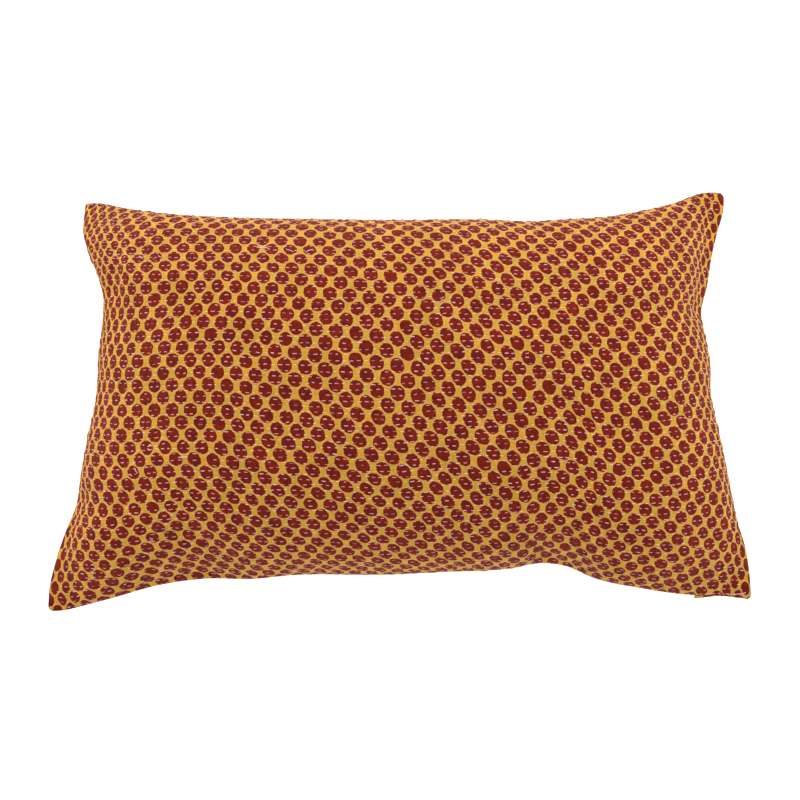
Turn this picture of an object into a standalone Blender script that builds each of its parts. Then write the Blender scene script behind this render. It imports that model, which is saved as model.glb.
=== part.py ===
"""Kantha cushion: a filled lumbar cover, 60 by 35 cm when flat, lying on its back.

The origin is on the floor under the middle of the cushion. +X runs across the face to the
right, +Y up the face and +Z out of it, so the camera looks down on the face.
"""

import bmesh
import bpy
import numpy as np

MM = 0.001

# Filling, in millimetres: the seam's height above the floor, the cloth that is caught in it,
# and the crown of each panel from the seam. The back panel would sink below the floor, so it is
# pressed flat where it rests.
SEAM_HEIGHT = 80
SEAM_THICKNESS = 2.4
FRONT_CROWN = 82
BACK_CROWN = 89
FLATTEN_BLEND = 3

# Roundness of the crown: the power of its section across the face, and of its upper and lower
# halves up the face. Two gives an ellipse, and more gives a flatter crown with steeper ends.
CROWN_ACROSS = 3.4
CROWN_UPPER = 1.9
CROWN_LOWER = 2.8

# How the cloth rises from the seam: a half gives a round turn, and more a straighter wall
WALL_ACROSS = 0.6
WALL_UPPER = 0.5
WALL_LOWER = 0.75

# Cloth near a seam turns down, so it covers less of the plan than cloth at the crown does
TURN_ACROSS = 0.24
TURN_ACROSS_POWER = 4
TURN_UP = 0.27
TURN_UP_POWER = 3

# Cage of each panel, whose grid runs from -1 to 1 to this many digits, and its subdivision
CAGE_COLUMNS = 28
CAGE_ROWS = 18
SHARE_DIGITS = 6
SUBDIVISION = 1

# The seam, side by side, in millimetres from the middle of the face. Each row is one station:
# its place in plan, and its height over the seam's level.
TOP_SEAM = (
    # x, y, z
    (-250, 156, -28),
    (-237, 155.5, -24),
    (-217, 150.5, -16),
    (-190, 145, -7),
    (-150, 141, -1),
    (-80, 139, 0),
    (0, 138, 1),
    (65, 138.5, 0),
    (98, 137, 0),
    (128, 139, -1),
    (158, 141.5, -3),
    (197, 149.5, -6),
    (216, 155, -10),
    (236, 163, -14),
    (246.5, 164.5, -16),
    (257, 164, -18),
)
BOTTOM_SEAM = (
    # x, y, z
    (-273.5, -163.5, -6),
    (-261.5, -163, -5),
    (-243, -158.5, -3),
    (-223, -153, -2),
    (-185, -142, 0),
    (-150, -137, 1),
    (-110, -137, 1),
    (-85, -134.5, 0),
    (-10, -134, -1),
    (30, -132, 0),
    (85, -129, 1),
    (108, -125, 2),
    (126, -127, 1),
    (150, -137, 0),
    (185, -144.5, -1),
    (230.5, -151, -3),
    (252, -151.5, -4),
    (273.5, -155.5, -5),
)
LEFT_SEAM = (
    # x, y, z
    (-250, 156, -28),
    (-248.5, 130, -18),
    (-243, 115.5, -12),
    (-233, 96, -3),
    (-228, 80, -1),
    (-228, 62, 0),
    (-231, 35, 1),
    (-233, 2, 0),
    (-240, -30, -1),
    (-245, -58, -1),
    (-249, -82, -2),
    (-257.5, -102, -2),
    (-264.5, -121, -3),
    (-271.5, -144.5, -5),
    (-273.5, -163.5, -6),
)
RIGHT_SEAM = (
    # x, y, z
    (257, 164, -18),
    (256, 151, -15),
    (249, 129, -11),
    (243.5, 111, -7),
    (238.5, 88.5, -4),
    (232.5, 68, -1),
    (235.5, 46, 0),
    (238, 30, 1),
    (238.5, 4, 1),
    (242.5, -15, 0),
    (248.5, -42, 0),
    (254, -68, -1),
    (259.5, -92.5, -1),
    (267, -114, -2),
    (272, -138.5, -4),
    (273.5, -155.5, -5),
)

# Corners where the filling doesn't reach and both panels lie flat on each other
EARS = (
    # x, y, reach across, reach up, share of the height that is lost
    (-249, 143, 26, 66, 0.05),
    (255, 148, 24, 70, 0.40),
    (-275, -154, 30, 44, 0.55),
    (275, -148, 48, 44, 0.60),
)

# Corners of the cover, which hang back towards the floor
HANGING_CORNERS = (
    # x, y, reach, drop
    (-250, 156, 45, 28),
    (257, 164, 84, 38),
    (-273.5, -163.5, 50, 14),
    (273.5, -155.5, 55, 20),
)

# Main folds of the front, as soft troughs between two points in plan. They and the lumps fade
# out where the filling is thinner than this share of the crown.
FADE_BELOW = 0.2
FOLDS = (
    # x, y of one end, x, y of the other end, half width, depth
    (-216, 122, -216, 80, 7, 3),
    (244, 148, 231, 70, 9, 8),
    (-240, -74, -266, -133, 10, 13),
    (122, -124, 98, -108, 7, 4),
    (108, -120, 150, -134, 8, 4),
)

# Where the filling under the front stands up or is sunken
LUMPS = (
    # x, y, radius, height
    (-120, 40, 90, 1.6),
    (60, -50, 80, 1.8),
    (-155, -140, 50, -12),
    (-218, 55, 34, -4),
    (-190, -70, 55, 1.4),
    (10, 80, 70, 1.2),
)

# Hemmed edge of the opening, which shows past the bottom seam beside the right corner. Its two
# ends are rounded over a share of its length, from a blunt start.
FLAP_FROM_X = 227.5
FLAP_TO_X = 265.5
FLAP_DEPTH = 2
FLAP_THICKNESS = 1.3
FLAP_DROP = 1.0
FLAP_GAP = 1.2
FLAP_COLUMNS = 18
FLAP_ROWS = 2
FLAP_TIP_SHARE = 0.12
FLAP_TIP_START = 0.35

MUSTARD = (0.62, 0.33, 0.045, 1.0)
MAROON = (0.17, 0.012, 0.016, 1.0)
CLOTH_ROUGHNESS = 0.9


def curve_through(stations, values, at):
    """Smooth curve through the stations, each with the slope of its neighbours."""
    slopes = np.gradient(values, stations)
    i = np.clip(np.searchsorted(stations, at) - 1, 0, len(stations) - 2)
    step = stations[i + 1] - stations[i]
    t = (at - stations[i]) / step
    from_start = (1 + 2 * t) * (1 - t) ** 2 * values[i] + t * (1 - t) ** 2 * step * slopes[i]
    from_end = t**2 * (3 - 2 * t) * values[i + 1] - t**2 * (1 - t) * step * slopes[i + 1]
    return from_start + from_end


def seam_point(table, share, along):
    """The seam at a share from -1 to 1 of a side, which runs along axis 0 (x) or 1 (y)."""
    rows = np.array(table, float)
    rows = rows[np.argsort(rows[:, along])]
    at = rows[0, along] + (share + 1) / 2 * (rows[-1, along] - rows[0, along])
    columns = [curve_through(rows[:, along], rows[:, k], at) for k in range(3)]
    columns[along] = at
    return np.stack(columns, -1)


def seam_sheet(p, q):
    """The sheet that the four seams span, at shares p across and q up of its plan."""
    low, high = (1 - q) / 2, (1 + q) / 2
    left, right = (1 - p) / 2, (1 + p) / 2
    corner = {
        (i, j): seam_point(BOTTOM_SEAM if j < 0 else TOP_SEAM, np.array(float(i)), 0)
        for i in (-1, 1)
        for j in (-1, 1)
    }

    def between(a, b, share):
        return a + (b - a) * share[..., None]

    bottom_line = between(corner[-1, -1], corner[1, -1], right)
    top_line = between(corner[-1, 1], corner[1, 1], right)
    left_line = between(corner[-1, -1], corner[-1, 1], high)
    right_line = between(corner[1, -1], corner[1, 1], high)
    sheet = bottom_line * low[..., None] + top_line * high[..., None]
    sheet += (seam_point(BOTTOM_SEAM, p, 0) - bottom_line) * (low**2)[..., None]
    sheet += (seam_point(TOP_SEAM, p, 0) - top_line) * (high**2)[..., None]
    sheet += (seam_point(LEFT_SEAM, q, 1) - left_line) * (left**2)[..., None]
    sheet += (seam_point(RIGHT_SEAM, q, 1) - right_line) * (right**2)[..., None]
    return sheet


def plan_share(u, v):
    """Where cloth at shares u and v of the flat panel lies in the plan of the filled cushion."""
    turned_u = u * (1 + TURN_ACROSS * (1 - np.abs(u) ** TURN_ACROSS_POWER))
    turned_v = v * (1 + TURN_UP * (1 - np.abs(v) ** TURN_UP_POWER))
    return turned_u + (u - turned_u) * v**2, turned_v + (v - turned_v) * u**4


def crown(p, q):
    """Height of the filling as a share of the crown."""
    across = np.clip(1 - np.abs(p) ** CROWN_ACROSS, 0, 1)
    up = np.clip(1 - np.abs(q) ** np.where(q > 0, CROWN_UPPER, CROWN_LOWER), 0, 1)
    return across**WALL_ACROSS * up ** np.where(q > 0, WALL_UPPER, WALL_LOWER)


def thinned(x, y):
    """Share of the height that is left at the ears."""
    left = np.ones_like(x)
    for ear_x, ear_y, reach_across, reach_up, lost in EARS:
        away = ((x - ear_x) / reach_across) ** 2 + ((y - ear_y) / reach_up) ** 2
        left *= 1 - lost * np.exp(-away)
    return left


def hanging(x, y):
    """How far the corners hang below the level of the seam."""
    drop = np.zeros_like(x)
    for corner_x, corner_y, reach, depth in HANGING_CORNERS:
        drop += depth * np.exp(-((x - corner_x) ** 2 + (y - corner_y) ** 2) / reach**2)
    return drop


def relief(x, y):
    """Height that the folds and lumps add to the front."""
    height = np.zeros_like(x)
    for lump_x, lump_y, radius, rise in LUMPS:
        height += rise * np.exp(-((x - lump_x) ** 2 + (y - lump_y) ** 2) / radius**2)
    for x0, y0, x1, y1, half_width, depth in FOLDS:
        run = np.array((x1 - x0, y1 - y0), float)
        share = np.clip(((x - x0) * run[0] + (y - y0) * run[1]) / (run @ run), 0, 1)
        away = (x - x0 - share * run[0]) ** 2 + (y - y0 - share * run[1]) ** 2
        height -= depth * np.exp(-away / half_width**2)
    return height


def pressed_flat(z):
    """Cloth that would pass through the floor lies on it, with a soft turn at the rim."""
    turn = (z + FLATTEN_BLEND) ** 2 / (4 * FLATTEN_BLEND)
    return np.where(z < -FLATTEN_BLEND, 0, np.where(z < FLATTEN_BLEND, turn, z))


def panel_point(u, v, front):
    """A point of the front or back panel in metres, from its shares of the flat panel."""
    p, q = plan_share(u, v)
    sheet = seam_sheet(p, q)
    x, y = sheet[..., 0], sheet[..., 1]
    full = crown(p, q) * thinned(x, y)
    level = SEAM_HEIGHT + sheet[..., 2] - hanging(x, y)
    inside = np.clip(full / FADE_BELOW, 0, 1)
    if front:
        z = level + SEAM_THICKNESS / 2 + FRONT_CROWN * full + relief(x, y) * inside
    else:
        z = pressed_flat(level - SEAM_THICKNESS / 2 - BACK_CROWN * full)
    return np.stack((x, y, z), -1) * MM


def cloth_material(name, colour):
    material = bpy.data.materials.new(name)
    material.use_nodes = True
    shader = material.node_tree.nodes["Principled BSDF"]
    shader.inputs["Base Color"].default_value = colour
    shader.inputs["Roughness"].default_value = CLOTH_ROUGHNESS
    material.diffuse_color = colour
    return material


def add_object(name, bm, material, collection):
    mesh = bpy.data.meshes.new(name)
    bm.to_mesh(mesh)
    bm.free()
    mesh.shade_smooth()
    mesh.materials.append(material)
    piece = bpy.data.objects.new(name, mesh)
    collection.objects.link(piece)
    return piece


def add_panel(bm, front):
    """One panel of the cage, with its rim creased so that the seam stays crisp."""
    crease = bm.edges.layers.float["crease_edge"]
    tip = bm.verts.layers.float["crease_vert"]
    grid = bmesh.ops.create_grid(bm, x_segments=CAGE_COLUMNS, y_segments=CAGE_ROWS, size=1.0)
    shares = np.round([vertex.co[:2] for vertex in grid["verts"]], SHARE_DIGITS)
    points = panel_point(shares[:, 0], shares[:, 1], front)
    for vertex, share, point in zip(grid["verts"], shares, points):
        vertex[tip] = float(np.abs(share).min() == 1)
        vertex.co = point
    faces = {face for vertex in grid["verts"] for face in vertex.link_faces}
    for edge in {edge for face in faces for edge in face.edges}:
        edge[crease] = float(edge.is_boundary)
    if not front:
        bmesh.ops.reverse_faces(bm, faces=list(faces))


def add_cushion(collection):
    """Front and back panels, joined round their rims by the seam."""
    bm = bmesh.new()
    bm.edges.layers.float.new("crease_edge")
    bm.verts.layers.float.new("crease_vert")
    add_panel(bm, front=True)
    add_panel(bm, front=False)
    bmesh.ops.bridge_loops(bm, edges=[edge for edge in bm.edges if edge.is_boundary])
    cushion = add_object("cushion", bm, cloth_material("printed cotton", MUSTARD), collection)
    smooth = cushion.modifiers.new("filling", "SUBSURF")
    smooth.levels = SUBDIVISION
    smooth.render_levels = SUBDIVISION


def add_closure_flap(collection):
    """A thin folded strip that follows the seam just outside it and ends in a rounded tip."""
    bm = bmesh.new()
    grid = bmesh.ops.create_grid(bm, x_segments=FLAP_COLUMNS, y_segments=FLAP_ROWS, size=1.0)
    seam = np.array(BOTTOM_SEAM, float)
    for vertex in grid["verts"]:
        along, out = (vertex.co.x + 1) / 2, (1 - vertex.co.y) / 2
        x = FLAP_FROM_X + along * (FLAP_TO_X - FLAP_FROM_X)
        edge_y = curve_through(seam[:, 0], seam[:, 1], x)
        edge_z = curve_through(seam[:, 0], seam[:, 2], x)
        from_tip = min(along, 1 - along) / FLAP_TIP_SHARE
        depth = FLAP_DEPTH * min(1, FLAP_TIP_START + np.sqrt(from_tip))
        y = edge_y - FLAP_GAP - out * depth
        z = SEAM_HEIGHT + edge_z - hanging(x, y) - out * FLAP_DROP
        vertex.co = np.array((x, y, z)) * MM
    flap = add_object("closure_flap", bm, cloth_material("folded hem", MAROON), collection)
    thick = flap.modifiers.new("folded cloth", "SOLIDIFY")
    thick.thickness = FLAP_THICKNESS * MM
    thick.offset = 0


def build():
    for old in list(bpy.data.objects):
        bpy.data.objects.remove(old)
    collection = bpy.data.collections.new("kantha cushion")
    bpy.context.scene.collection.children.link(collection)
    add_cushion(collection)
    add_closure_flap(collection)


build()
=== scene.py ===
import math

import bpy
import numpy as np
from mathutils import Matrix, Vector


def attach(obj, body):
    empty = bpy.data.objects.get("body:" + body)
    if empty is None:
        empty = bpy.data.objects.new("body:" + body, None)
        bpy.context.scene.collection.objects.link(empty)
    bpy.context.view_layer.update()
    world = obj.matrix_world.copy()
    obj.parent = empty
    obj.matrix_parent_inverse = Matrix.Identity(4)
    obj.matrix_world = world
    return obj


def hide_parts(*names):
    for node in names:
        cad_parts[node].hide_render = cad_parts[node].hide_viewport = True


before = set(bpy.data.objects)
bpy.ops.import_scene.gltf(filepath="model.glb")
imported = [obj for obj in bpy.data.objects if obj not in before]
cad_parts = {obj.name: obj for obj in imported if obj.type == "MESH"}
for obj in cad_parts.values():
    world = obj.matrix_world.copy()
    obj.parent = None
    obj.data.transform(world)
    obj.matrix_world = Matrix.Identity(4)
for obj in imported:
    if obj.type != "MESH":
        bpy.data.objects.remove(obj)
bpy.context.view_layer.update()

# The cover: two panels of layered printed cotton, 60 by 35 cm when flat, sewn edge to edge and
# turned. The filling pulls the four sides in, its crown stands about 8 cm over the seam, and
# the corners stay thin flat ears. All its sizes are in millimetres.
MM = 0.001
COVER_WIDTH = 600
COVER_HEIGHT = 350
SEAM_HEIGHT = 80
SEAM_THICKNESS = 3.4
FRONT_CROWN = 82
BACK_CROWN = 89
FLATTEN_BLEND = 3
CROWN_ACROSS = 3.4
CROWN_UPPER = 1.9
CROWN_LOWER = 2.8
WALL_ACROSS = 0.6
WALL_UPPER = 0.5
WALL_LOWER = 0.75
TURN_ACROSS = 0.24
TURN_ACROSS_POWER = 4
TURN_ACROSS_FADES = 2
TURN_UP = 0.27
TURN_UP_POWER = 3
TURN_UP_FADES = 4
LAYING_ROUNDS = 6

# The seam's four sides: x and y from the middle of the face, and z from the seam's own level
TOP_SEAM = (
    # x, y, z
    (-250, 156, -28),
    (-237, 155.5, -24),
    (-217, 150.5, -16),
    (-190, 145, -7),
    (-150, 141, -1),
    (-80, 139, 0),
    (0, 138, 1),
    (65, 138.5, 0),
    (98, 137, 0),
    (128, 139, -1),
    (158, 141.5, -3),
    (197, 149.5, -6),
    (216, 155, -10),
    (236, 163, -14),
    (246.5, 164.5, -16),
    (257, 164, -18),
)
BOTTOM_SEAM = (
    # x, y, z
    (-273.5, -163.5, -6),
    (-261.5, -163, -5),
    (-243, -158.5, -3),
    (-223, -153, -2),
    (-185, -142, 0),
    (-150, -137, 1),
    (-110, -137, 1),
    (-85, -134.5, 0),
    (-10, -134, -1),
    (30, -132, 0),
    (85, -129, 1),
    (108, -125, 2),
    (126, -127, 1),
    (150, -137, 0),
    (185, -144.5, -1),
    (230.5, -151, -3),
    (252, -151.5, -4),
    (273.5, -155.5, -5),
)
LEFT_SEAM = (
    # x, y, z
    (-250, 156, -28),
    (-248.5, 130, -18),
    (-243, 115.5, -12),
    (-233, 96, -3),
    (-228, 80, -1),
    (-228, 62, 0),
    (-231, 35, 1),
    (-233, 2, 0),
    (-240, -30, -1),
    (-245, -58, -1),
    (-249, -82, -2),
    (-257.5, -102, -2),
    (-264.5, -121, -3),
    (-271.5, -144.5, -5),
    (-273.5, -163.5, -6),
)
RIGHT_SEAM = (
    # x, y, z
    (257, 164, -18),
    (256, 151, -15),
    (249, 129, -11),
    (243.5, 111, -7),
    (238.5, 88.5, -4),
    (232.5, 68, -1),
    (235.5, 46, 0),
    (238, 30, 1),
    (238.5, 4, 1),
    (242.5, -15, 0),
    (248.5, -42, 0),
    (254, -68, -1),
    (259.5, -92.5, -1),
    (267, -114, -2),
    (272, -138.5, -4),
    (273.5, -155.5, -5),
)
EARS = (
    # x, y, reach across, reach up, share of the height that is lost
    (-249, 143, 26, 66, 0.05),
    (255, 148, 24, 70, 0.40),
    (-275, -154, 30, 44, 0.55),
    (275, -148, 48, 44, 0.60),
)
HANGING_CORNERS = (
    # x, y, reach, drop
    (-250, 156, 45, 28),
    (257, 164, 84, 38),
    (-273.5, -163.5, 50, 14),
    (273.5, -155.5, 55, 20),
)
FADE_BELOW = 0.2
FOLDS = (
    # x, y of one end, x, y of the other end, half width, depth
    (-216, 122, -216, 80, 5, 3),
    (244, 148, 231, 70, 9, 9),
    (-245, -74, -270, -133, 9, 8),
    (122, -124, 98, -108, 7, 4),
    (108, -120, 150, -134, 8, 4),
)
LUMPS = (
    # x, y, radius, height
    (-120, 40, 90, 1.6),
    (60, -50, 80, 1.8),
    (-155, -140, 50, -12),
    (-218, 55, 34, -4),
    (-190, -70, 55, 1.4),
    (10, 80, 70, 1.2),
)


def curve_through(stations, values, at):
    """Smooth curve through the stations, each with the slope of its neighbours."""
    slopes = np.gradient(values, stations, axis=0)
    i = np.clip(np.searchsorted(stations, at) - 1, 0, len(stations) - 2)
    step = stations[i + 1] - stations[i]
    t = (at - stations[i]) / step
    step, t = (share.reshape(share.shape + (1,) * (values.ndim - 1)) for share in (step, t))
    from_start = (1 + 2 * t) * (1 - t) ** 2 * values[i] + t * (1 - t) ** 2 * step * slopes[i]
    from_end = t**2 * (3 - 2 * t) * values[i + 1] - t**2 * (1 - t) * step * slopes[i + 1]
    return from_start + from_end


def seam_point(side, share, along):
    """The seam at a share from -1 to 1 of a side, which runs along axis 0 (x) or 1 (y)."""
    rows = np.array(sorted(side, key=lambda row: row[along]), float)
    at = rows[0, along] + (share + 1) / 2 * (rows[-1, along] - rows[0, along])
    columns = [curve_through(rows[:, along], rows[:, k], at) for k in range(3)]
    columns[along] = at
    return np.stack(columns, -1)


def seam_sheet(p, q):
    """The sheet that the four seams span, at shares p across and q up of its plan."""
    low, high = (1 - q[..., None]) / 2, (1 + q[..., None]) / 2
    left, right = (1 - p[..., None]) / 2, (1 + p[..., None]) / 2
    ends = np.array([-1.0, 1.0])
    bottom_left, bottom_right = seam_point(BOTTOM_SEAM, ends, 0)
    top_left, top_right = seam_point(TOP_SEAM, ends, 0)
    bottom_line = bottom_left * left + bottom_right * right
    top_line = top_left * left + top_right * right
    left_line = bottom_left * low + top_left * high
    right_line = bottom_right * low + top_right * high
    sheet = bottom_line * low + top_line * high
    sheet += (seam_point(BOTTOM_SEAM, p, 0) - bottom_line) * low**2
    sheet += (seam_point(TOP_SEAM, p, 0) - top_line) * high**2
    sheet += (seam_point(LEFT_SEAM, q, 1) - left_line) * left**2
    sheet += (seam_point(RIGHT_SEAM, q, 1) - right_line) * right**2
    return sheet


def plan_share(u, v):
    """Where cloth at shares u and v of the flat panel lies in the plan of the filled cushion."""
    turned_u = u * (1 + TURN_ACROSS * (1 - np.abs(u) ** TURN_ACROSS_POWER))
    turned_v = v * (1 + TURN_UP * (1 - np.abs(v) ** TURN_UP_POWER))
    p = turned_u + (u - turned_u) * v**TURN_ACROSS_FADES
    q = turned_v + (v - turned_v) * u**TURN_UP_FADES
    return p, q


def crown(p, q):
    """How full the cushion stands over its plan, from 0 at the seam to 1 in the middle."""
    across = np.clip(1 - np.abs(p) ** CROWN_ACROSS, 0, 1)
    up = np.clip(1 - np.abs(q) ** np.where(q > 0, CROWN_UPPER, CROWN_LOWER), 0, 1)
    return across**WALL_ACROSS * up ** np.where(q > 0, WALL_UPPER, WALL_LOWER)


def thinned(x, y):
    """The share of the height that is left in the thin ears."""
    left = np.ones_like(x)
    for ear_x, ear_y, reach_across, reach_up, lost in EARS:
        away = ((x - ear_x) / reach_across) ** 2 + ((y - ear_y) / reach_up) ** 2
        left *= 1 - lost * np.exp(-away)
    return left


def hanging(x, y):
    """How far the corners hang back."""
    drop = np.zeros_like(x)
    for corner_x, corner_y, reach, depth in HANGING_CORNERS:
        drop += depth * np.exp(-((x - corner_x) ** 2 + (y - corner_y) ** 2) / reach**2)
    return drop


def relief(x, y):
    """Bulges and hollows of the filling, and the folds that run in from the ears."""
    height = np.zeros_like(x)
    for lump_x, lump_y, radius, rise in LUMPS:
        height += rise * np.exp(-((x - lump_x) ** 2 + (y - lump_y) ** 2) / radius**2)
    for x0, y0, x1, y1, half_width, depth in FOLDS:
        run = np.array((x1 - x0, y1 - y0), float)
        share = np.clip(((x - x0) * run[0] + (y - y0) * run[1]) / (run @ run), 0, 1)
        away = (x - x0 - share * run[0]) ** 2 + (y - y0 - share * run[1]) ** 2
        height -= depth * np.exp(-away / half_width**2)
    return height


def pressed_flat(z):
    """Heights over the floor, pressed up on to it where they would lie below."""
    turn = (z + FLATTEN_BLEND) ** 2 / (4 * FLATTEN_BLEND)
    return np.where(z < -FLATTEN_BLEND, 0, np.where(z < FLATTEN_BLEND, turn, z))


def panel(u, v, front):
    """Points of the front or back panel, before the filling swells it, from shares of the flat cloth."""
    p, q = plan_share(u, v)
    sheet = seam_sheet(p, q)
    x, y = sheet[..., 0], sheet[..., 1]
    full = crown(p, q) * thinned(x, y) * SWELL_FILLING
    level = SEAM_HEIGHT + sheet[..., 2] - hanging(x, y)
    if front:
        inside = np.clip(full / FADE_BELOW, 0, 1)
        z = level + SEAM_THICKNESS / 2 + FRONT_CROWN * full + relief(x, y) * inside
    else:
        z = level - SEAM_THICKNESS / 2 - BACK_CROWN * full
    return np.stack((x, y, z), -1)


def shares_laid_evenly(across, up, front):
    """Shares of the panel for lines across and up the cloth, stretched alike all along each line."""
    u, v = np.meshgrid(across, up)
    for _ in range(LAYING_ROUNDS):
        for axis, flat in ((0, up), (1, across)):
            step = np.linalg.norm(np.diff(panel(u, v, front), axis=axis), axis=-1)
            run = np.insert(np.cumsum(step, axis=axis), 0, 0, axis=axis)
            goal = (flat - flat[0]) / (flat[-1] - flat[0])
            laid = []
            for grid in (u, v):
                lines = zip(np.moveaxis(run, axis, -1), np.moveaxis(grid, axis, -1))
                even = [np.interp(goal * length[-1], length, line) for length, line in lines]
                laid.append(np.moveaxis(np.array(even), -1, axis))
            u, v = laid
    return u, v


def rim_of(grid):
    """The points round a panel's edge, from the lower left corner towards the right."""
    return np.concatenate((grid[0, :-1], grid[:-1, -1], grid[-1, :0:-1], grid[:0:-1, 0]))


def new_piece(name, points, faces):
    """A smooth mesh in the scene, from points in millimetres and faces that number them."""
    mesh = bpy.data.meshes.new(name)
    mesh.from_pydata(points.reshape(-1, 3) * MM, [], faces)
    mesh.shade_smooth()
    piece = bpy.data.objects.new(name, mesh)
    bpy.context.scene.collection.objects.link(piece)
    return piece


def sewn_cover(name, front, back, between=()):
    """One closed mesh: the front, the rings of points across the seam, and the back."""
    number = np.arange(front[..., 0].size).reshape(front.shape[:2])
    squares = np.stack((number[:-1, :-1], number[:-1, 1:], number[1:, 1:], number[1:, :-1]), -1)
    squares = squares.reshape(-1, 4)
    rim = rim_of(number)
    first_between = 2 * number.size + np.arange(len(rim))
    rings = [rim, *(first_between + i * len(rim) for i in range(len(between))), rim + number.size]
    faces = [squares]
    for upper, lower in zip(rings, rings[1:]):
        faces.append(np.stack((lower, np.roll(lower, -1), np.roll(upper, -1), upper), -1))
    faces.append(squares[:, ::-1] + number.size)
    points = np.concatenate((front.reshape(-1, 3), back.reshape(-1, 3), *between))
    return new_piece(name, points, np.concatenate(faces).tolist())


# The filling presses the cloth out until it is tight. Cloth simulation swells a slightly smaller
# cover from inside, with its seam held, and no point may move further than the limit.
SWELL_COLUMNS = 100
SWELL_ROWS = 60
SWELL_FILLING = 0.97
SWELL_SLACK = 1.02
SWELL_PRESSURE = 4
SWELL_FRAMES = 20
SWELL_LIMIT = 6
CLOTH_MASS = 0.3
CLOTH_STRETCH_STIFFNESS = 15
CLOTH_SHEAR_STIFFNESS = 5
CLOTH_BENDING_STIFFNESS = 0.5


def swelling():
    """How far the filling moves the front and the back, on the coarse grid."""
    lines = np.linspace(-1, 1, SWELL_COLUMNS + 1), np.linspace(-1, 1, SWELL_ROWS + 1)
    start = np.stack([panel(*shares_laid_evenly(*lines, side), side) for side in (True, False)])
    cover = sewn_cover("swelling cover", *start)
    number = np.arange(start[..., 0].size).reshape(start.shape[:3])
    held = cover.vertex_groups.new(name="seam")
    held.add(np.concatenate([rim_of(side) for side in number]).tolist(), 1.0, "REPLACE")
    cover.shape_key_add(name="Basis")
    cut = cover.shape_key_add(name="cut a little roomier")
    cut.data.foreach_set("co", (start * MM * SWELL_SLACK).astype(np.float32).ravel())
    cloth = cover.modifiers.new("filling", "CLOTH")
    cloth.settings.mass = CLOTH_MASS
    cloth.settings.tension_stiffness = CLOTH_STRETCH_STIFFNESS
    cloth.settings.compression_stiffness = CLOTH_STRETCH_STIFFNESS
    cloth.settings.shear_stiffness = CLOTH_SHEAR_STIFFNESS
    cloth.settings.bending_stiffness = CLOTH_BENDING_STIFFNESS
    cloth.settings.use_pressure = True
    cloth.settings.uniform_pressure_force = SWELL_PRESSURE
    cloth.settings.vertex_group_mass = held.name
    cloth.settings.rest_shape_key = cut
    cloth.settings.effector_weights.gravity = 0
    cloth.point_cache.frame_end = SWELL_FRAMES
    for frame_number in range(1, SWELL_FRAMES + 1):
        bpy.context.scene.frame_set(frame_number)
    swollen = cover.evaluated_get(bpy.context.evaluated_depsgraph_get()).to_mesh()
    moved = np.empty(len(swollen.vertices) * 3, np.float32)
    swollen.vertices.foreach_get("co", moved)
    bpy.data.objects.remove(cover)
    bpy.context.scene.frame_set(1)
    moved = moved.reshape(start.shape) / MM - start
    far = np.linalg.norm(moved, axis=-1, keepdims=True)
    return moved * np.minimum(1, SWELL_LIMIT / np.maximum(far, SWELL_LIMIT))


def read_between(coarse, u, v):
    """A coarse grid of values, read at the columns u and rows v of a finer one."""
    at_rows = curve_through(np.linspace(-1, 1, coarse.shape[0]), coarse, v)
    columns = np.swapaxes(at_rows, 0, 1)
    return np.swapaxes(curve_through(np.linspace(-1, 1, coarse.shape[1]), columns, u), 0, 1)


# The quilting: rows of running stitch, 4.3 mm apart and a little wavy, draw the layers together.
# Each row lies in a shallow groove, and the cloth stands up between the rows and beside the seam.
STITCH_ROWS = 81
ROW_PITCH = 4.32
STITCH_PITCH = 5.85
GROOVE_HALF_WIDTH = 1.1
GROOVE_DEPTH = 0.3
COLUMNS = 196
CLOSER_AT_SIDES = 0.15
CORNER_RADIUS = 4.5
ROW_WAVES = (
    # length along the row, height, turn from one row to the next
    (205, 0.9, 0.07),
    (104, 0.35, 2.4),
)
WAVES_START_IN = 20
GATHER_PITCH = 11
GATHER_HEIGHT = 1.5
GATHER_FROM = 3
GATHER_REACH = 9
GATHERS_DRIFT = 1.5
GATHERS_DRIFT_OVER = 4.3
GATHERS_VARY = 0.45
GATHERS_VARY_OVER = 6.6
FRONT_GATHERS_START = 0.4
BACK_GATHERS_START = 2.1
UNEVEN_WAVES = 10
UNEVEN_HEIGHT = 0.12
UNEVEN_LENGTHS = (17, 60)
STITCHES_STAND = 0.6
SEAM_SHAPE = (
    # out from the rim, up from the middle of the seam
    (-0.35, 0.75),
    (-1.6, 0.0),
    (-0.35, -0.75),
)
SEAM_TAKES = (0.5, 1.0, 0.5)
chance = np.random.default_rng(11)

row_heights = (np.arange(STITCH_ROWS) - (STITCH_ROWS - 1) / 2) * ROW_PITCH
grooves = row_heights[:, None] + np.array((-GROOVE_HALF_WIDTH, 0, GROOVE_HALF_WIDTH))
up_lines = np.concatenate(([-COVER_HEIGHT / 2], grooves.ravel(), [COVER_HEIGHT / 2]))
share = np.linspace(-1, 1, COLUMNS + 1)
across_lines = share * (1 + CLOSER_AT_SIDES * (1 - share**2)) * COVER_WIDTH / 2
s, t = np.meshgrid(across_lines, up_lines)
to_seam = np.minimum(COVER_WIDTH / 2 - np.abs(s), COVER_HEIGHT / 2 - np.abs(t))
row_number = np.round(t / ROW_PITCH)
wavy = t.copy()
for wave_length, height, turn in ROW_WAVES:
    wave = height * np.sin(2 * math.pi * s / wave_length + turn * row_number)
    wavy += wave * np.clip((COVER_HEIGHT / 2 - np.abs(t)) / WAVES_START_IN, 0, 1)

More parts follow.
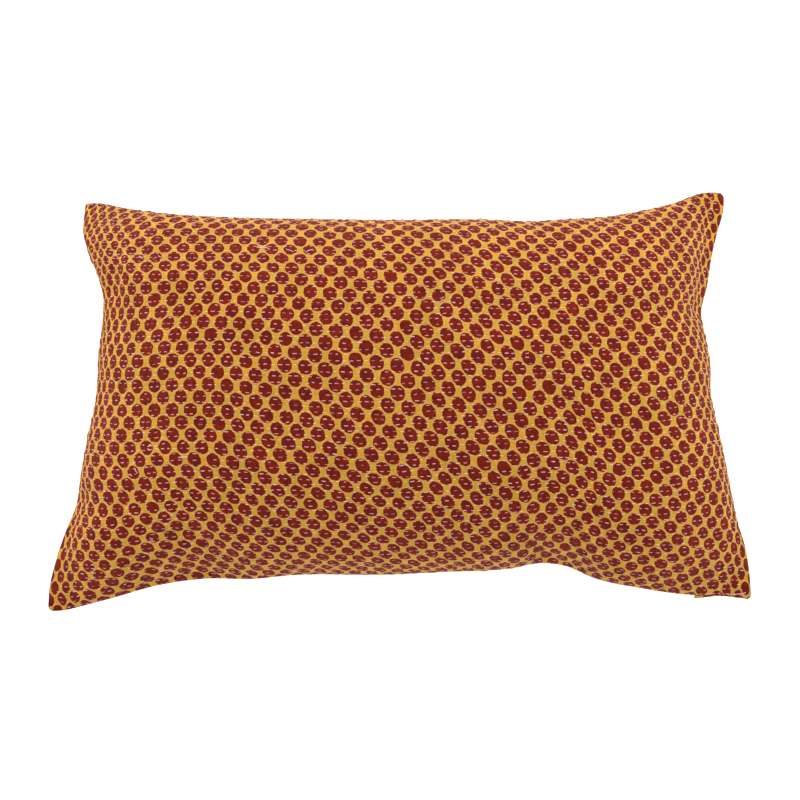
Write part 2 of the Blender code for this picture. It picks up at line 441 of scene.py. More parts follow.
# The seam cuts the corners round
past_s = np.clip(1 - (COVER_WIDTH / 2 - np.abs(s)) / CORNER_RADIUS, 0, 1)
past_t = np.clip(1 - (COVER_HEIGHT / 2 - np.abs(t)) / CORNER_RADIUS, 0, 1)
sewn_s = s - np.sign(s) * CORNER_RADIUS * past_s * (1 - np.sqrt(1 - past_t**2 / 2))
sewn_t = wavy - np.sign(wavy) * CORNER_RADIUS * past_t * (1 - np.sqrt(1 - past_s**2 / 2))


def on_cloth(grid, s, t):
    """A value of the cloth's grid at places across and up the flat cloth."""
    i = np.clip(np.searchsorted(up_lines, t) - 1, 0, len(up_lines) - 2)
    j = np.clip(np.searchsorted(across_lines, s) - 1, 0, len(across_lines) - 2)
    a = ((t - up_lines[i]) / (up_lines[i + 1] - up_lines[i]))[..., None]
    b = ((s - across_lines[j]) / (across_lines[j + 1] - across_lines[j]))[..., None]
    low = grid[i, j] * (1 - b) + grid[i, j + 1] * b
    high = grid[i + 1, j] * (1 - b) + grid[i + 1, j + 1] * b
    return low * (1 - a) + high * a


def gathers(along, start):
    """Small folds that the seam draws into the cloth, of uneven size along it."""
    turn = 2 * math.pi * along / GATHER_PITCH
    drift = GATHERS_DRIFT * np.sin(turn / GATHERS_DRIFT_OVER + start)
    size = 1 - GATHERS_VARY + GATHERS_VARY * np.sin(turn / GATHERS_VARY_OVER + 3 * start)
    return np.sin(turn + drift + start) * size


def beside_seam(inwards):
    return np.exp(-inwards / GATHER_REACH) * (1 - np.exp(-inwards / GATHER_FROM))


def finished(points, outwards, start):
    """A panel with its grooves, gathers and unevenness, and the outward directions on it."""
    normals = np.cross(np.gradient(points, axis=1), np.gradient(points, axis=0)) * outwards
    normals /= np.linalg.norm(normals, axis=-1, keepdims=True)
    in_groove = np.isclose(t, row_number * ROW_PITCH)
    rise = -GROOVE_DEPTH * in_groove * (1 - np.exp(-to_seam / GATHER_FROM))
    rise += GATHER_HEIGHT * gathers(s, start) * beside_seam(COVER_HEIGHT / 2 - np.abs(t))
    rise += GATHER_HEIGHT * gathers(t, start + 1) * beside_seam(COVER_WIDTH / 2 - np.abs(s))
    for turn in chance.uniform(0, math.pi, UNEVEN_WAVES):
        wave_length = chance.uniform(*UNEVEN_LENGTHS)
        along = s * math.cos(turn) + t * math.sin(turn)
        wave = np.sin(2 * math.pi * along / wave_length + chance.uniform(0, 2 * math.pi))
        rise += UNEVEN_HEIGHT * wave * (1 - np.exp(-to_seam / GATHER_REACH))
    return points + normals * rise[..., None], normals


pushed = swelling()
lines = across_lines / (COVER_WIDTH / 2), up_lines / (COVER_HEIGHT / 2)
front, back = (
    on_cloth(panel(*shares_laid_evenly(*lines, side), side) + read_between(push, *lines), sewn_s, sewn_t)
    for side, push in zip((True, False), pushed)
)
front, front_out = finished(front, 1, FRONT_GATHERS_START)
back, back_out = finished(back, -1, BACK_GATHERS_START)
back[..., 2] = STITCHES_STAND + pressed_flat(back[..., 2] - STITCHES_STAND)
rim = (rim_of(front) + rim_of(back)) / 2
along_rim = np.roll(rim, -1, axis=0) - np.roll(rim, 1, axis=0)
out_of_rim = np.cross(along_rim, (0, 0, 1))
out_of_rim /= np.linalg.norm(out_of_rim, axis=-1, keepdims=True)
seam_rings = [rim + out_of_rim * out + np.array((0, 0, up)) for out, up in SEAM_SHAPE]
cushion = sewn_cover("cushion_cover", front, back, seam_rings)

# Print: even rows of round dots, printed a little askew on the cloth. The table says how far the
# print lies from the cloth's own straight grid, at five heights up the cloth.
DOT_PITCH = (15, 20)
DOT_TALL = 1.035
LATTICES_APART = 50
PRINT_HEIGHTS = (-160, -110, -60, 60, 160)
PRINT_LIE = (
    # across the cloth, print minus cloth: across at the five heights, then up at the same five
    (-300, -23, -15, 6, 12, -11, -23, -21, -19, -9, 8),
    (-275, -17, -6, 15, 25, 1, -25, -22, -20, -10, 3),
    (-250, -18, -6, 12, 29, 3, -26, -23, -21, -11, 2),
    (-200, -25, -8, 8, 21, 0, -28, -24, -20, -11, -5),
    (-100, -18, -5, 5, 16, 5, -25, -19, -15, -10, -6),
    (0, -11, -6, -1, 6, 1, -16, -10, -4, 0, 4),
    (100, -7, -5, -6, -3, -1, 27, 24, 23, 24, 27),
    (200, 4, -4, -10, -13, -3, 32, 36, 41, 51, 62),
    (250, 0, -9, -17, -21, -6, 48, 51, 55, 66, 81),
    (275, -2, -10, -16, -20, -7, 58, 58, 60, 72, 84),
    (300, 6, -1, -6, -9, 4, 68, 65, 66, 79, 91),
)
BACK_PRINT_SHIFT = (4, -6)
BACK_PRINT_SKEW = 0.03


def printed_at(s, t):
    """Where cloth of the front lies in its print, in repeats of the dots."""
    lie = np.array(PRINT_LIE, float)
    heights = np.array(PRINT_HEIGHTS, float)
    slips = curve_through(lie[:, 0], lie[:, 1:].reshape(-1, 2, len(heights)), s)
    nearness = curve_through(heights, np.eye(len(heights)), t)
    slip = (slips * nearness[..., None, :]).sum(-1)
    return (np.stack((s, t), -1) + slip) / DOT_PITCH


def printed_on_back(s, t):
    skewed = np.stack((BACK_PRINT_SKEW * t - s, t + BACK_PRINT_SKEW * s), -1)
    return (skewed + BACK_PRINT_SHIFT) / DOT_PITCH


def corners_of(piece):
    """The point at each corner of a piece's faces, in the order of its loops."""
    points = np.empty(len(piece.data.loops), np.int32)
    piece.data.loops.foreach_get("vertex_index", points)
    return points


def lay_map(piece, name, places):
    """A map on the piece, from the place of each corner of its faces."""
    piece.data.uv_layers.new(name=name).uv.foreach_set("vector", places.astype(np.float32).ravel())


corner_of = corners_of(cushion)
on_front = np.arange(len(corner_of)) < len(corner_of) // 2
ring_s, ring_t = rim_of(s), rim_of(t)
taken = np.array(SEAM_TAKES)[:, None]
seam_s = ring_s * (1 + taken / (COVER_WIDTH / 2))
seam_t = ring_t * (1 + taken / (COVER_HEIGHT / 2))
all_s = np.concatenate((s.ravel(), s.ravel(), seam_s.ravel()))
all_t = np.concatenate((t.ravel(), t.ravel(), seam_t.ravel()))
front_print = printed_at(all_s, all_t)[corner_of]
back_print = printed_on_back(all_s, all_t)[corner_of]
lay_map(cushion, "print", np.where(on_front[:, None], front_print, back_print))
lay_map(cushion, "cloth", np.stack((all_s, all_t), -1)[corner_of])


def add_node(material, kind, inputs, take=0, **settings):
    """A shader node with its settings. Each input is a value or another node's output."""
    made = material.node_tree.nodes.new("ShaderNode" + kind)
    for name, value in settings.items():
        setattr(made, name, value)
    for socket, value in inputs.items():
        if isinstance(value, bpy.types.NodeSocket):
            material.node_tree.links.new(value, made.inputs[socket])
        else:
            made.inputs[socket].default_value = value
    return made.outputs[take]


def sums(material, operation, *values):
    return add_node(material, "Math", dict(enumerate(values)), operation=operation)


def steps(material, value, start, end, low=0.0, high=1.0):
    """A soft step from low to high as the value goes from start to end."""
    inputs = {"Value": value, "From Min": start, "From Max": end, "To Min": low, "To Max": high}
    return add_node(material, "MapRange", inputs, interpolation_type="SMOOTHSTEP")


def mixed(material, share, first, second):
    return add_node(material, "Mix", {0: share, 6: first, 7: second}, take=2, data_type="RGBA")


def nearest_dot(material):
    """How far the middle of the nearest dot is, in mm, and a number from 0 to 1 of that dot's own.

    The dots stand on two like lattices, the second half a repeat across and up from the first.
    """
    spread = (DOT_PITCH[0] * DOT_TALL, DOT_PITCH[1] / DOT_TALL)
    repeat = add_node(material, "UVMap", {}, uv_map="print")
    half_way = add_node(material, "VectorMath", {0: repeat, 1: (0.5, 0.5, 0)}, operation="ADD")
    near, own = [], []
    for place, lattice in ((half_way, 0), (repeat, LATTICES_APART)):
        inner = add_node(material, "VectorMath", {0: place}, operation="FRACTION")
        middle = (-spread[0] / 2, -spread[1] / 2, 0)
        inputs = {0: inner, 1: (*spread, 0), 2: middle}
        inner = add_node(material, "VectorMath", inputs, operation="MULTIPLY_ADD")
        near.append(add_node(material, "VectorMath", {0: inner}, take=1, operation="LENGTH"))
        one_dot = add_node(material, "VectorMath", {0: place}, operation="FLOOR")
        inputs = {0: one_dot, 1: (lattice, lattice, 0)}
        one_dot = add_node(material, "VectorMath", inputs, operation="ADD")
        own.append(add_node(material, "TexWhiteNoise", {"Vector": one_dot}, noise_dimensions="2D"))
    first_nearer = sums(material, "LESS_THAN", near[0], near[1])
    own = add_node(material, "Mix", {0: first_nearer, 2: own[1], 3: own[0]}, data_type="FLOAT")
    return sums(material, "MINIMUM", near[0], near[1]), own


DOT_RADIUS = 5.48
INK_RADIUS = 5.38
DOT_EDGE = 0.22
DOT_UNEVEN = 1.2
DOTS_VARY = 0.3
RIM_WIDTH = 1.2
RIM_STRENGTH = 0.6
BLEED_WIDTH = 1.0
BLEED_STRENGTH = 0.9
# Painted shade: the cloth darkens over its last SEAM_SHADE_WIDTH mm to the seam, down to SEAM_SHADE,
# standing in for the shadow of the turned seam.
SEAM_SHADE_WIDTH = 1.6
SEAM_SHADE = 0.45

# The dyes: linear colours, and the mottling that mixes them, its scales in spots per millimetre.
# The olive is no dye but painted shade, in patches along the grooves of the rows of stitches.
# Each pair is the span of the mottling over which a colour or shade comes in. Only the olive's
# nearness to a row is in shares of the way from one row of stitches to the next.
AMBER = (0.72, 0.345, 0.026, 1)
YELLOW = (0.61, 0.378, 0.035, 1)
OLIVE_GROOVE_SHADE = (0.43, 0.335, 0.050, 1)
BLEED = (0.82, 0.350, 0.095, 1)
MAROON = (0.165, 0.0120, 0.0042, 1)
RED = (0.240, 0.0150, 0.0060, 1)
PURPLE = (0.130, 0.0090, 0.0120, 1)
DARK_RIM = (0.112, 0.0180, 0.0008, 1)
COARSE_MOTTLE = 0.035
PATCHY_MOTTLE = 0.16
FINE_MOTTLE = 0.45
GRAIN_MOTTLE = 1.7
GRAIN_DETAIL = 3.0
YELLOW_COMES_IN = (0.35, 0.65)
OLIVE_COMES_IN = (0.40, 0.65)
OLIVE_NEAR_ROW = (0.30, 0.05)
OLIVE_STRENGTH = 0.8
RED_COMES_IN = (0.4, 0.7)
REDDER_DOTS = 0.12
PURPLE_COMES_IN = (0.50, 0.66)
PURPLE_STRENGTH = 0.8
WASHED_OVER = (0.3, 0.7)
WASHED_SHADES = (0.94, 1.06)
GRAIN_OVER = (0.25, 0.75)
GRAIN_SHADES = (0.86, 1.14)

# The surface: the weave and the puffs of cloth between the stitches, in millimetres of height,
# and a matt, faintly downy finish.
WEAVE_SCALE = 0.7
WEAVE_DISTORTION = 1.5
PUFFS_VARY = 0.7
PUFF_HEIGHT = 0.35
WEAVE_HEIGHT = 0.05
CREASE_HEIGHT = 0.25
ROUGH_OVER = (0.2, 0.8)
ROUGHNESS = (0.82, 0.96)
SHINE = 0.10
DOWN_SHEEN = 0.07
DOWN_ROUGHNESS = 0.5
DOWN_TINT = (1.0, 0.80, 0.62, 1)


def printed_cotton():
    cotton = bpy.data.materials.new("printed cotton")
    cotton.use_nodes = True
    shader = cotton.node_tree.nodes["Principled BSDF"]
    cloth = add_node(cotton, "UVMap", {}, uv_map="cloth")
    across_cloth, up_cloth = (add_node(cotton, "SeparateXYZ", {0: cloth}, take=k) for k in (0, 1))
    away, own = nearest_dot(cotton)

    def mottle(scale, detail=2.0):
        inputs = {"Vector": cloth, "Scale": scale, "Detail": detail}
        return add_node(cotton, "TexNoise", inputs, noise_dimensions="2D")

    coarse, patchy, fine = mottle(COARSE_MOTTLE), mottle(PATCHY_MOTTLE), mottle(FINE_MOTTLE)
    grain = mottle(GRAIN_MOTTLE, GRAIN_DETAIL)

    uneven = sums(cotton, "MULTIPLY_ADD", fine, DOT_UNEVEN, -DOT_UNEVEN / 2)
    uneven = sums(cotton, "MULTIPLY_ADD", own, -DOTS_VARY, uneven)
    away = sums(cotton, "ADD", away, uneven)
    inside_dot = steps(cotton, away, INK_RADIUS + DOT_EDGE, INK_RADIUS - DOT_EDGE)
    at_rim = steps(cotton, away, DOT_RADIUS - RIM_WIDTH, DOT_RADIUS, 0.0, RIM_STRENGTH)
    in_bleed = steps(cotton, away, DOT_RADIUS + BLEED_WIDTH, DOT_RADIUS, 0.0, BLEED_STRENGTH)

    off_row = sums(cotton, "PINGPONG", sums(cotton, "DIVIDE", up_cloth, ROW_PITCH), 0.5)
    # Painted shade: olive patches darken the ground along the grooves of the stitch rows, in place of
    # the shadow in those dimples.
    painted_groove_shade = steps(cotton, fine, *OLIVE_COMES_IN, 0.0, OLIVE_STRENGTH)
    painted_groove_shade = sums(cotton, "MULTIPLY", steps(cotton, off_row, *OLIVE_NEAR_ROW), painted_groove_shade)
    ground = mixed(cotton, steps(cotton, patchy, *YELLOW_COMES_IN), AMBER, YELLOW)
    ground = mixed(cotton, painted_groove_shade, ground, OLIVE_GROOVE_SHADE)
    ground = mixed(cotton, in_bleed, ground, BLEED)

    redder = sums(cotton, "MULTIPLY_ADD", own, REDDER_DOTS, fine)
    ink = mixed(cotton, steps(cotton, redder, *RED_COMES_IN), MAROON, RED)
    ink = mixed(cotton, steps(cotton, patchy, *PURPLE_COMES_IN, 0.0, PURPLE_STRENGTH), ink, PURPLE)
    ink = mixed(cotton, at_rim, ink, DARK_RIM)

    shade = steps(cotton, coarse, *WASHED_OVER, *WASHED_SHADES)
    shade = sums(cotton, "MULTIPLY", shade, steps(cotton, grain, *GRAIN_OVER, *GRAIN_SHADES))
    # Painted shade: darken the cloth towards the seam on all four sides, in place of the seam's shadow.
    for place, size in ((across_cloth, COVER_WIDTH), (up_cloth, COVER_HEIGHT)):
        from_middle = sums(cotton, "ABSOLUTE", place)
        painted_seam_shade = steps(cotton, from_middle, size / 2 - SEAM_SHADE_WIDTH, size / 2, 1.0, SEAM_SHADE)
        shade = sums(cotton, "MULTIPLY", shade, painted_seam_shade)
    colour = mixed(cotton, inside_dot, ground, ink)
    colour = add_node(cotton, "VectorMath", {0: colour, 3: shade}, operation="SCALE")
    cotton.node_tree.links.new(colour, shader.inputs["Base Color"])

    waves = {"Vector": cloth, "Scale": WEAVE_SCALE, "Distortion": WEAVE_DISTORTION, "Detail": 1.0}
    weft = add_node(cotton, "TexWave", waves)
    warp = add_node(cotton, "TexWave", waves, bands_direction="Y")
    one_stitch = (1 / STITCH_PITCH, 1 / ROW_PITCH, 1)
    cell = add_node(cotton, "VectorMath", {0: cloth, 1: one_stitch}, operation="MULTIPLY")
    cells = {"Vector": cell, "Scale": 1.0, "Randomness": PUFFS_VARY}
    puff = add_node(cotton, "TexVoronoi", cells, voronoi_dimensions="2D")
    height = sums(cotton, "MULTIPLY", puff, -PUFF_HEIGHT)
    height = sums(cotton, "MULTIPLY_ADD", sums(cotton, "MAXIMUM", weft, warp), WEAVE_HEIGHT, height)
    height = sums(cotton, "MULTIPLY_ADD", fine, CREASE_HEIGHT, height)
    bump = add_node(cotton, "Bump", {"Height": height, "Strength": 1.0, "Distance": MM})
    cotton.node_tree.links.new(bump, shader.inputs["Normal"])
    rough = steps(cotton, grain, *ROUGH_OVER, *ROUGHNESS)
    cotton.node_tree.links.new(rough, shader.inputs["Roughness"])
    shader.inputs["Specular IOR Level"].default_value = SHINE
    shader.inputs["Sheen Weight"].default_value = DOWN_SHEEN
    shader.inputs["Sheen Roughness"].default_value = DOWN_ROUGHNESS
    shader.inputs["Sheen Tint"].default_value = DOWN_TINT
    return cotton


cotton = printed_cotton()
cushion.data.materials.append(cotton)
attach(cushion, "root")
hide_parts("cushion")


# The running stitches: off-white cotton thread that comes up through the layers, runs over them
# for about 3.9 mm and dives again. They are sewn by hand, so no two are quite alike.
STITCH_LENGTH = 3.9
STITCH_LENGTHS_SPREAD = 0.6
STITCH_LENGTHS = (2.2, 5.0)
STITCH_PITCHES_SPREAD = 0.45
STITCH_PITCHES = (4.6, 7.6)
STITCHES_SPARE = 8
STITCH_SLANT = 0.25
STITCH_HALF_WIDTH = 0.37
STITCH_HALF_THICKNESS = 0.25
THREAD_FATNESS = (0.8, 1.2)
STITCHES_MISSED = 0.05
STITCH_SHARES = np.array((0.0, 0.2, 0.5, 0.8, 1.0))
STITCH_LIFT = np.array((-0.35, 0.13, 0.26, 0.13, -0.35))
CLEAR_OF_SEAM = 5
CROWDED = (
    # across and up the cloth, stitches added, spread
    (-225, 106, 4, 3.4),
    (-208, 107, 4, 3.4),
    (-200, -116, 5, 3.4),
    (-116, 120, 5, 4.5),
    (-218, -57, 3, 4.0),
    (-203, -41, 3, 4.0),
    (28, 70, 3, 4.0),
)
CROWDED_HALF_LENGTHS = (1.4, 2.4)
CROWDED_SLANT = 0.8

# The thread takes on some of the dye that it lies on: a few stitches stay white, and the most worn
# ones are rubbed nearly to the colour of the print. Each stitch has a shade from 0 to 1 for that.
THREAD_WHITE = (0.91, 0.66, 0.67, 1)
THREAD_ON_DOT = (0.89, 0.41, 0.40, 1)
THREAD_ON_GROUND = (0.90, 0.67, 0.30, 1)
RUBBED_RED = (0.40, 0.12, 0.12, 1)
RUBBED_YELLOW = (0.68, 0.43, 0.13, 1)
THREAD_DYE_EDGE = 0.5
RUBBED_FROM = (0.45, 1.0)
RUBBED_STRENGTH = 0.9
WHITE_FROM = (0.20, 0.0)
WHITE_STRENGTH = 0.85
PLY_SCALE = 0.6
PLY_HEIGHT = 0.1
PLY_STRENGTH = 0.4
THREAD_ROUGHNESS = (0.7, 0.9)
THREAD_SHINE = 0.3
THREAD_SHEEN = 0.3


def cotton_thread():
    thread = bpy.data.materials.new("kantha thread")
    thread.use_nodes = True
    shader = thread.node_tree.nodes["Principled BSDF"]
    place = add_node(thread, "UVMap", {}, uv_map="thread")
    shade = add_node(thread, "SeparateXYZ", {0: place}, take=1)
    away = nearest_dot(thread)[0]
    on_dot = steps(thread, away, DOT_RADIUS + THREAD_DYE_EDGE, DOT_RADIUS - THREAD_DYE_EDGE)
    dyed = mixed(thread, on_dot, THREAD_ON_GROUND, THREAD_ON_DOT)
    rubbed = mixed(thread, on_dot, RUBBED_YELLOW, RUBBED_RED)
    colour = mixed(thread, steps(thread, shade, *RUBBED_FROM, 0.0, RUBBED_STRENGTH), dyed, rubbed)
    white = steps(thread, shade, *WHITE_FROM, 0.0, WHITE_STRENGTH)
    colour = mixed(thread, white, colour, THREAD_WHITE)
    thread.node_tree.links.new(colour, shader.inputs["Base Color"])
    waves = {"Vector": place, "Scale": PLY_SCALE, "Distortion": 1.0}
    ply = add_node(thread, "TexWave", waves, bands_direction="DIAGONAL")
    inputs = {"Height": ply, "Strength": PLY_STRENGTH, "Distance": PLY_HEIGHT * MM}
    bump = add_node(thread, "Bump", inputs)
    thread.node_tree.links.new(bump, shader.inputs["Normal"])
    rough = steps(thread, ply, 0, 1, *THREAD_ROUGHNESS)
    thread.node_tree.links.new(rough, shader.inputs["Roughness"])
    shader.inputs["Specular IOR Level"].default_value = THREAD_SHINE
    shader.inputs["Sheen Weight"].default_value = THREAD_SHEEN
    return thread


kantha_thread = cotton_thread()


def sewn_rows(chance):
    """Both ends of every stitch, across and up the flat cloth."""
    shape = (STITCH_ROWS, int(COVER_WIDTH / STITCH_PITCH) + STITCHES_SPARE)
    pitch = chance.normal(STITCH_PITCH, STITCH_PITCHES_SPREAD, shape).clip(*STITCH_PITCHES)
    first = -COVER_WIDTH / 2 + chance.uniform(0, STITCH_PITCH, (STITCH_ROWS, 1))
    start = first + np.cumsum(pitch, axis=1)
    length = chance.normal(STITCH_LENGTH, STITCH_LENGTHS_SPREAD, shape).clip(*STITCH_LENGTHS)
    low, high = row_heights[:, None] + chance.normal(0, STITCH_SLANT, (2, *shape))
    ends = np.stack((start, low, start + length, high), -1)[chance.random(shape) > STITCHES_MISSED]
    for s, t, count, spread in CROWDED:
        middle = np.array((s, t)) + chance.uniform(-spread, spread, (count, 2))
        half_along = chance.uniform(*CROWDED_HALF_LENGTHS, count)
        half = np.stack((half_along, chance.normal(0, CROWDED_SLANT, count)), -1)
        ends = np.concatenate((ends, np.concatenate((middle - half, middle + half), 1)))
    inside = np.abs(ends[:, ::2]).max(1) < COVER_WIDTH / 2 - CLEAR_OF_SEAM
    inside &= np.abs(ends[:, 1::2]).max(1) < COVER_HEIGHT / 2
    return ends[inside]


def thread_faces(rings):
    """The faces of one length of thread: a tip, rings of four points, and the other tip."""
    quarters = [(k, (k + 1) % 4) for k in range(4)]
    last = 4 * rings - 3
    faces = [(0, 1 + b, 1 + a) for a, b in quarters]
    faces += [(r + a, r + b, r + 4 + b, r + 4 + a) for r in range(1, last, 4) for a, b in quarters]
    return faces + [(last + a, last + b, last + 4) for a, b in quarters]


def sew_threads(name, side, s, t, lift, shade, chance):
    """Lengths of thread along rows of places on the cloth, with the height of each place over it."""
    points, outwards, printed = side
    up = on_cloth(outwards, s, t)
    up /= np.linalg.norm(up, axis=-1, keepdims=True)
    middle = on_cloth(points, s, t) + up * lift[..., None]
    along = np.gradient(middle, axis=1)
    across = np.cross(up, along / np.linalg.norm(along, axis=-1, keepdims=True))
    count, places = s.shape
    fatness = chance.uniform(*THREAD_FATNESS, (count, 1, 1, 1))
    turns = np.arange(4) * math.pi / 2
    ring = across[:, 1:-1, None] * np.cos(turns)[:, None] * STITCH_HALF_WIDTH
    ring = ring + up[:, 1:-1, None] * np.sin(turns)[:, None] * STITCH_HALF_THICKNESS
    rings = (middle[:, 1:-1, None] + ring * fatness).reshape(count, -1, 3)
    verts = np.concatenate((middle[:, :1], rings, middle[:, -1:]), axis=1)
    first = np.arange(count) * verts.shape[1]
    faces = [tuple(n + k for k in face) for n in first.tolist() for face in thread_faces(places - 2)]
    thread = new_piece(name, verts, faces)
    corner_of = corners_of(thread)
    ring_sizes = [1] + [4] * (places - 2) + [1]
    run = np.repeat(np.hypot(s - s[:, :1], t - t[:, :1]), ring_sizes, axis=1)
    own_shade = np.repeat(shade, verts.shape[1])
    under = np.repeat(printed(s, t), ring_sizes, axis=1).reshape(-1, 2)
    lay_map(thread, "thread", np.stack((run.ravel(), own_shade), -1)[corner_of])
    lay_map(thread, "print", under[corner_of])
    thread.data.materials.append(kantha_thread)
    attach(thread, "root")


front_side, back_side = (front, front_out, printed_at), (back, back_out, printed_on_back)
for name, side in (("running_stitch_front", front_side), ("running_stitch_back", back_side)):
    ends = sewn_rows(chance)
    stitch_s = ends[:, :1] + (ends[:, 2:3] - ends[:, :1]) * STITCH_SHARES
    stitch_t = ends[:, 1:2] + (ends[:, 3:] - ends[:, 1:2]) * STITCH_SHARES
    lift = np.broadcast_to(STITCH_LIFT, stitch_s.shape)
    sew_threads(name, side, stitch_s, stitch_t, lift, chance.uniform(0, 1, len(ends)), chance)

# Slack threads: here and there the stitching thread was left long and lies in a low loop over the
# cloth, and the last stretch of the hem is oversewn with a line of the same thread.
LOOSE_PLACES = 13
LOOSE_THREADS = (
    # across and up the cloth at both ends, bow to the side, rise
    (-118.7, 118.8, -109.1, 117.1, 0.9, 0.9),
    (-96.6, 118.0, -90.1, 114.8, -1.1, 1.2),
    (-82.0, 114.0, -73.8, 118.2, -1.0, 1.2),
    (-255.6, -139.8, -251.9, -142.6, 0.4, 0.8),
    (-219.5, -55.5, -215.0, -60.6, 0.7, 1.0),
    (-180.0, -50.0, -171.0, -49.8, 0.3, 0.5),
    (-206.5, -39.8, -202.5, -40.8, 0.8, 0.8),
    (277.2, -172.8, 282.7, -173.4, -0.3, 0.5),
    (281.7, -173.3, 287.8, -172.0, 0.2, 0.5),
    (286.8, -172.4, 295.8, -169.8, -0.3, 0.6),
)
SLACK_SHADE = 0.1

loose = np.array(LOOSE_THREADS)
share = np.linspace(0, 1, LOOSE_PLACES)
arch = np.sin(math.pi * share)
run_s, run_t = ((loose[:, 2 + k] - loose[:, k])[:, None] for k in (0, 1))
length = np.hypot(run_s, run_t)
loose_s = loose[:, :1] + run_s * share - run_t / length * loose[:, 4:5] * arch
loose_t = loose[:, 1:2] + run_t * share + run_s / length * loose[:, 4:5] * arch
lift = loose[:, 5:6] * arch + STITCH_LIFT[0] * (1 - arch)
slack_shade = np.full(len(loose), SLACK_SHADE)
sew_threads("slack_threads", front_side, loose_s, loose_t, lift, slack_shade, chance)

# The closure: the folded hem of the opening runs on past the seam at the right of the bottom edge.
# It comes out of the seam's groove, stands furthest at its free left end, and is of the same print.
FLAP_FROM_X = 227.5
FLAP_TO_X = 265
FLAP_INSIDE = 0.5
FLAP_REACH = (3.2, 0.9)
FLAP_REACH_FALLS_OVER = 11
FLAP_HALF_THICKNESS = 0.6
FLAP_DROP = 0.45
FLAP_STEPS = 90
FLAP_ROUND = 20
FLAP_SQUARENESS = 0.6
FLAP_TIP = 2.5
FLAP_TIP_CUT = 0.995
FLAP_STITCH_PITCH = 4.5
FLAP_PUCKER = 0.12
FLAP_PRINT_SHIFT = (-238.5, 4.8)

x = np.linspace(FLAP_FROM_X, FLAP_TO_X, FLAP_STEPS)
edge = np.array(BOTTOM_SEAM, float)
edge_y, edge_z = (curve_through(edge[:, 0], edge[:, k], x) for k in (1, 2))
edge_z -= hanging(x, edge_y)
past_end = np.clip(1 - np.minimum(x - FLAP_FROM_X, FLAP_TO_X - x) / FLAP_TIP, 0, FLAP_TIP_CUT)
fullness = np.sqrt(1 - past_end**2)
fall = np.exp(-(x - FLAP_FROM_X) / FLAP_REACH_FALLS_OVER)
reach = FLAP_REACH[1] + (FLAP_REACH[0] - FLAP_REACH[1]) * fall
pucker = 1 + FLAP_PUCKER * np.cos(2 * math.pi * x / FLAP_STITCH_PITCH)
half_reach = (reach + FLAP_INSIDE) / 2 * fullness
turns = np.arange(FLAP_ROUND) * 2 * math.pi / FLAP_ROUND
waves = np.stack((np.cos(turns), np.sin(turns)))
ring_out, ring_up = np.sign(waves) * np.abs(waves) ** FLAP_SQUARENESS
out = (reach - FLAP_INSIDE)[:, None] / 2 + half_reach[:, None] * ring_out
rise = (FLAP_HALF_THICKNESS * pucker * fullness)[:, None] * ring_up - FLAP_DROP * out
along = np.broadcast_to(x[:, None], out.shape)
points = np.stack((along, edge_y[:, None] - out, SEAM_HEIGHT + edge_z[:, None] + rise), -1)
ring = np.arange(FLAP_ROUND)
band = np.stack((ring, np.roll(ring, -1), np.roll(ring, -1) + FLAP_ROUND, ring + FLAP_ROUND), -1)
faces = np.concatenate([band + FLAP_ROUND * k for k in range(FLAP_STEPS - 1)]).tolist()
faces += [ring[::-1].tolist(), (ring + FLAP_ROUND * (FLAP_STEPS - 1)).tolist()]
flap = new_piece("hem_flap", points, faces)
flat = np.stack((points[..., 0].ravel(), -out.ravel()), -1)[corners_of(flap)]
lay_map(flap, "cloth", flat)
lay_map(flap, "print", (flat + FLAP_PRINT_SHIFT) / DOT_PITCH)
flap.data.materials.append(cotton)
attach(flap, "root")
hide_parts("closure_flap")


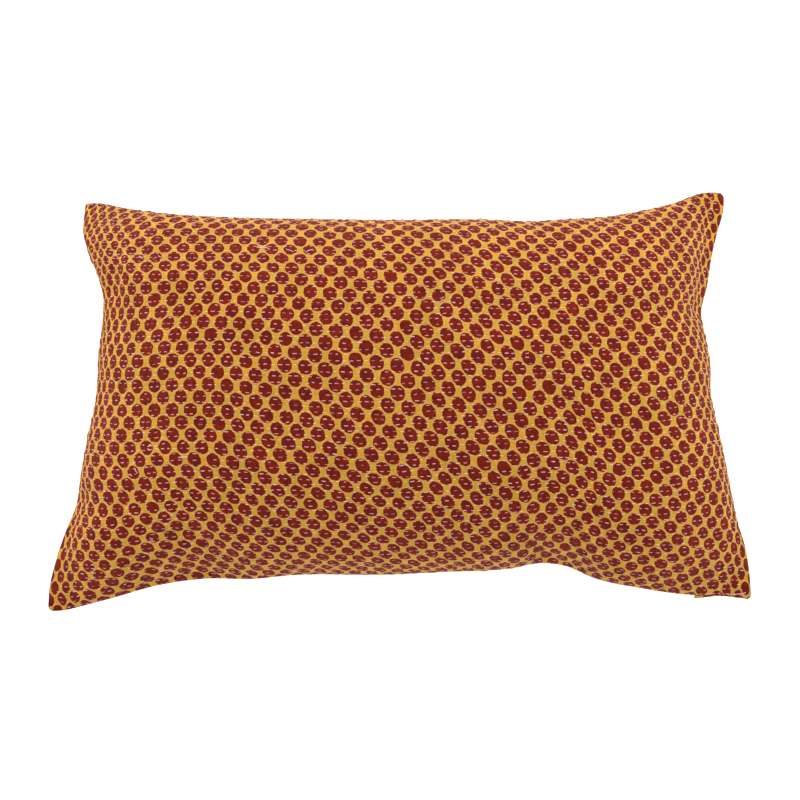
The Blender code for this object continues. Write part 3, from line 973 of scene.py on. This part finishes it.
# Floor, light and camera: the cushion lies on its back on a pale floor under soft studio light,
# and the camera looks straight down on its face.
FLOOR_HALF = 40000
FLOOR_COLOUR = (0.93, 0.93, 0.93, 1)
FLOOR_GLOW = 0.65
SKY_STRENGTH = 0.79
SKY_GRADE = 0.18
SOFTBOXES = (
    # place and size in metres, power in watts, colour
    ((0.4, 1.7, 1.3), 1.4, 10.5, (1, 1, 1)),
    ((-1.7, 0.3, 0.5), 0.9, 6, (1, 0.86, 0.76)),
    ((1.7, 0.2, 0.8), 0.9, 4, (1, 1, 1)),
)
CAMERA_DISTANCE = 1.6
PICTURE_WIDTH = 800
PIXELS_PER_METRE = 1303
SENSOR_WIDTH = 36

floor_corners = np.array(((-1, -1, 0), (1, -1, 0), (1, 1, 0), (-1, 1, 0))) * FLOOR_HALF
floor = new_piece("floor", floor_corners, [(0, 1, 2, 3)])
paper = bpy.data.materials.new("floor paper")
paper.use_nodes = True
paper_shader = paper.node_tree.nodes["Principled BSDF"]
paper_shader.inputs["Base Color"].default_value = FLOOR_COLOUR
paper_shader.inputs["Roughness"].default_value = 1.0
paper_shader.inputs["Specular IOR Level"].default_value = 0.0
paper_shader.inputs["Emission Color"].default_value = (1, 1, 1, 1)
paper_shader.inputs["Emission Strength"].default_value = FLOOR_GLOW
floor.data.materials.append(paper)

sky = bpy.data.worlds.new("studio")
sky.use_nodes = True
backdrop = sky.node_tree.nodes["Background"]
backdrop.inputs["Color"].default_value = (1, 1, 1, 1)
direction = add_node(sky, "TexCoord", {})
up_picture = add_node(sky, "SeparateXYZ", {0: direction}, take=1)
graded = sums(sky, "MULTIPLY_ADD", up_picture, SKY_GRADE, SKY_STRENGTH)
sky.node_tree.links.new(graded, backdrop.inputs["Strength"])
bpy.context.scene.world = sky

aim = Vector((0, 0, SEAM_HEIGHT * MM))
for place, size, power, light_colour in SOFTBOXES:
    softbox_light = bpy.data.lights.new("softbox", "AREA")
    softbox_light.size = size
    softbox_light.energy = power
    softbox_light.color = light_colour
    softbox = bpy.data.objects.new("softbox", softbox_light)
    softbox.location = place
    softbox.rotation_euler = (aim - softbox.location).to_track_quat("-Z", "Y").to_euler()
    bpy.context.scene.collection.objects.link(softbox)

lens = bpy.data.cameras.new("camera")
lens.sensor_width = SENSOR_WIDTH
lens.lens = SENSOR_WIDTH * PIXELS_PER_METRE * CAMERA_DISTANCE / PICTURE_WIDTH
camera = bpy.data.objects.new("camera", lens)
camera.location = aim + Vector((0, 0, CAMERA_DISTANCE))
bpy.context.scene.collection.objects.link(camera)
bpy.context.scene.camera = camera
bpy.context.scene.view_settings.view_transform = "Standard"
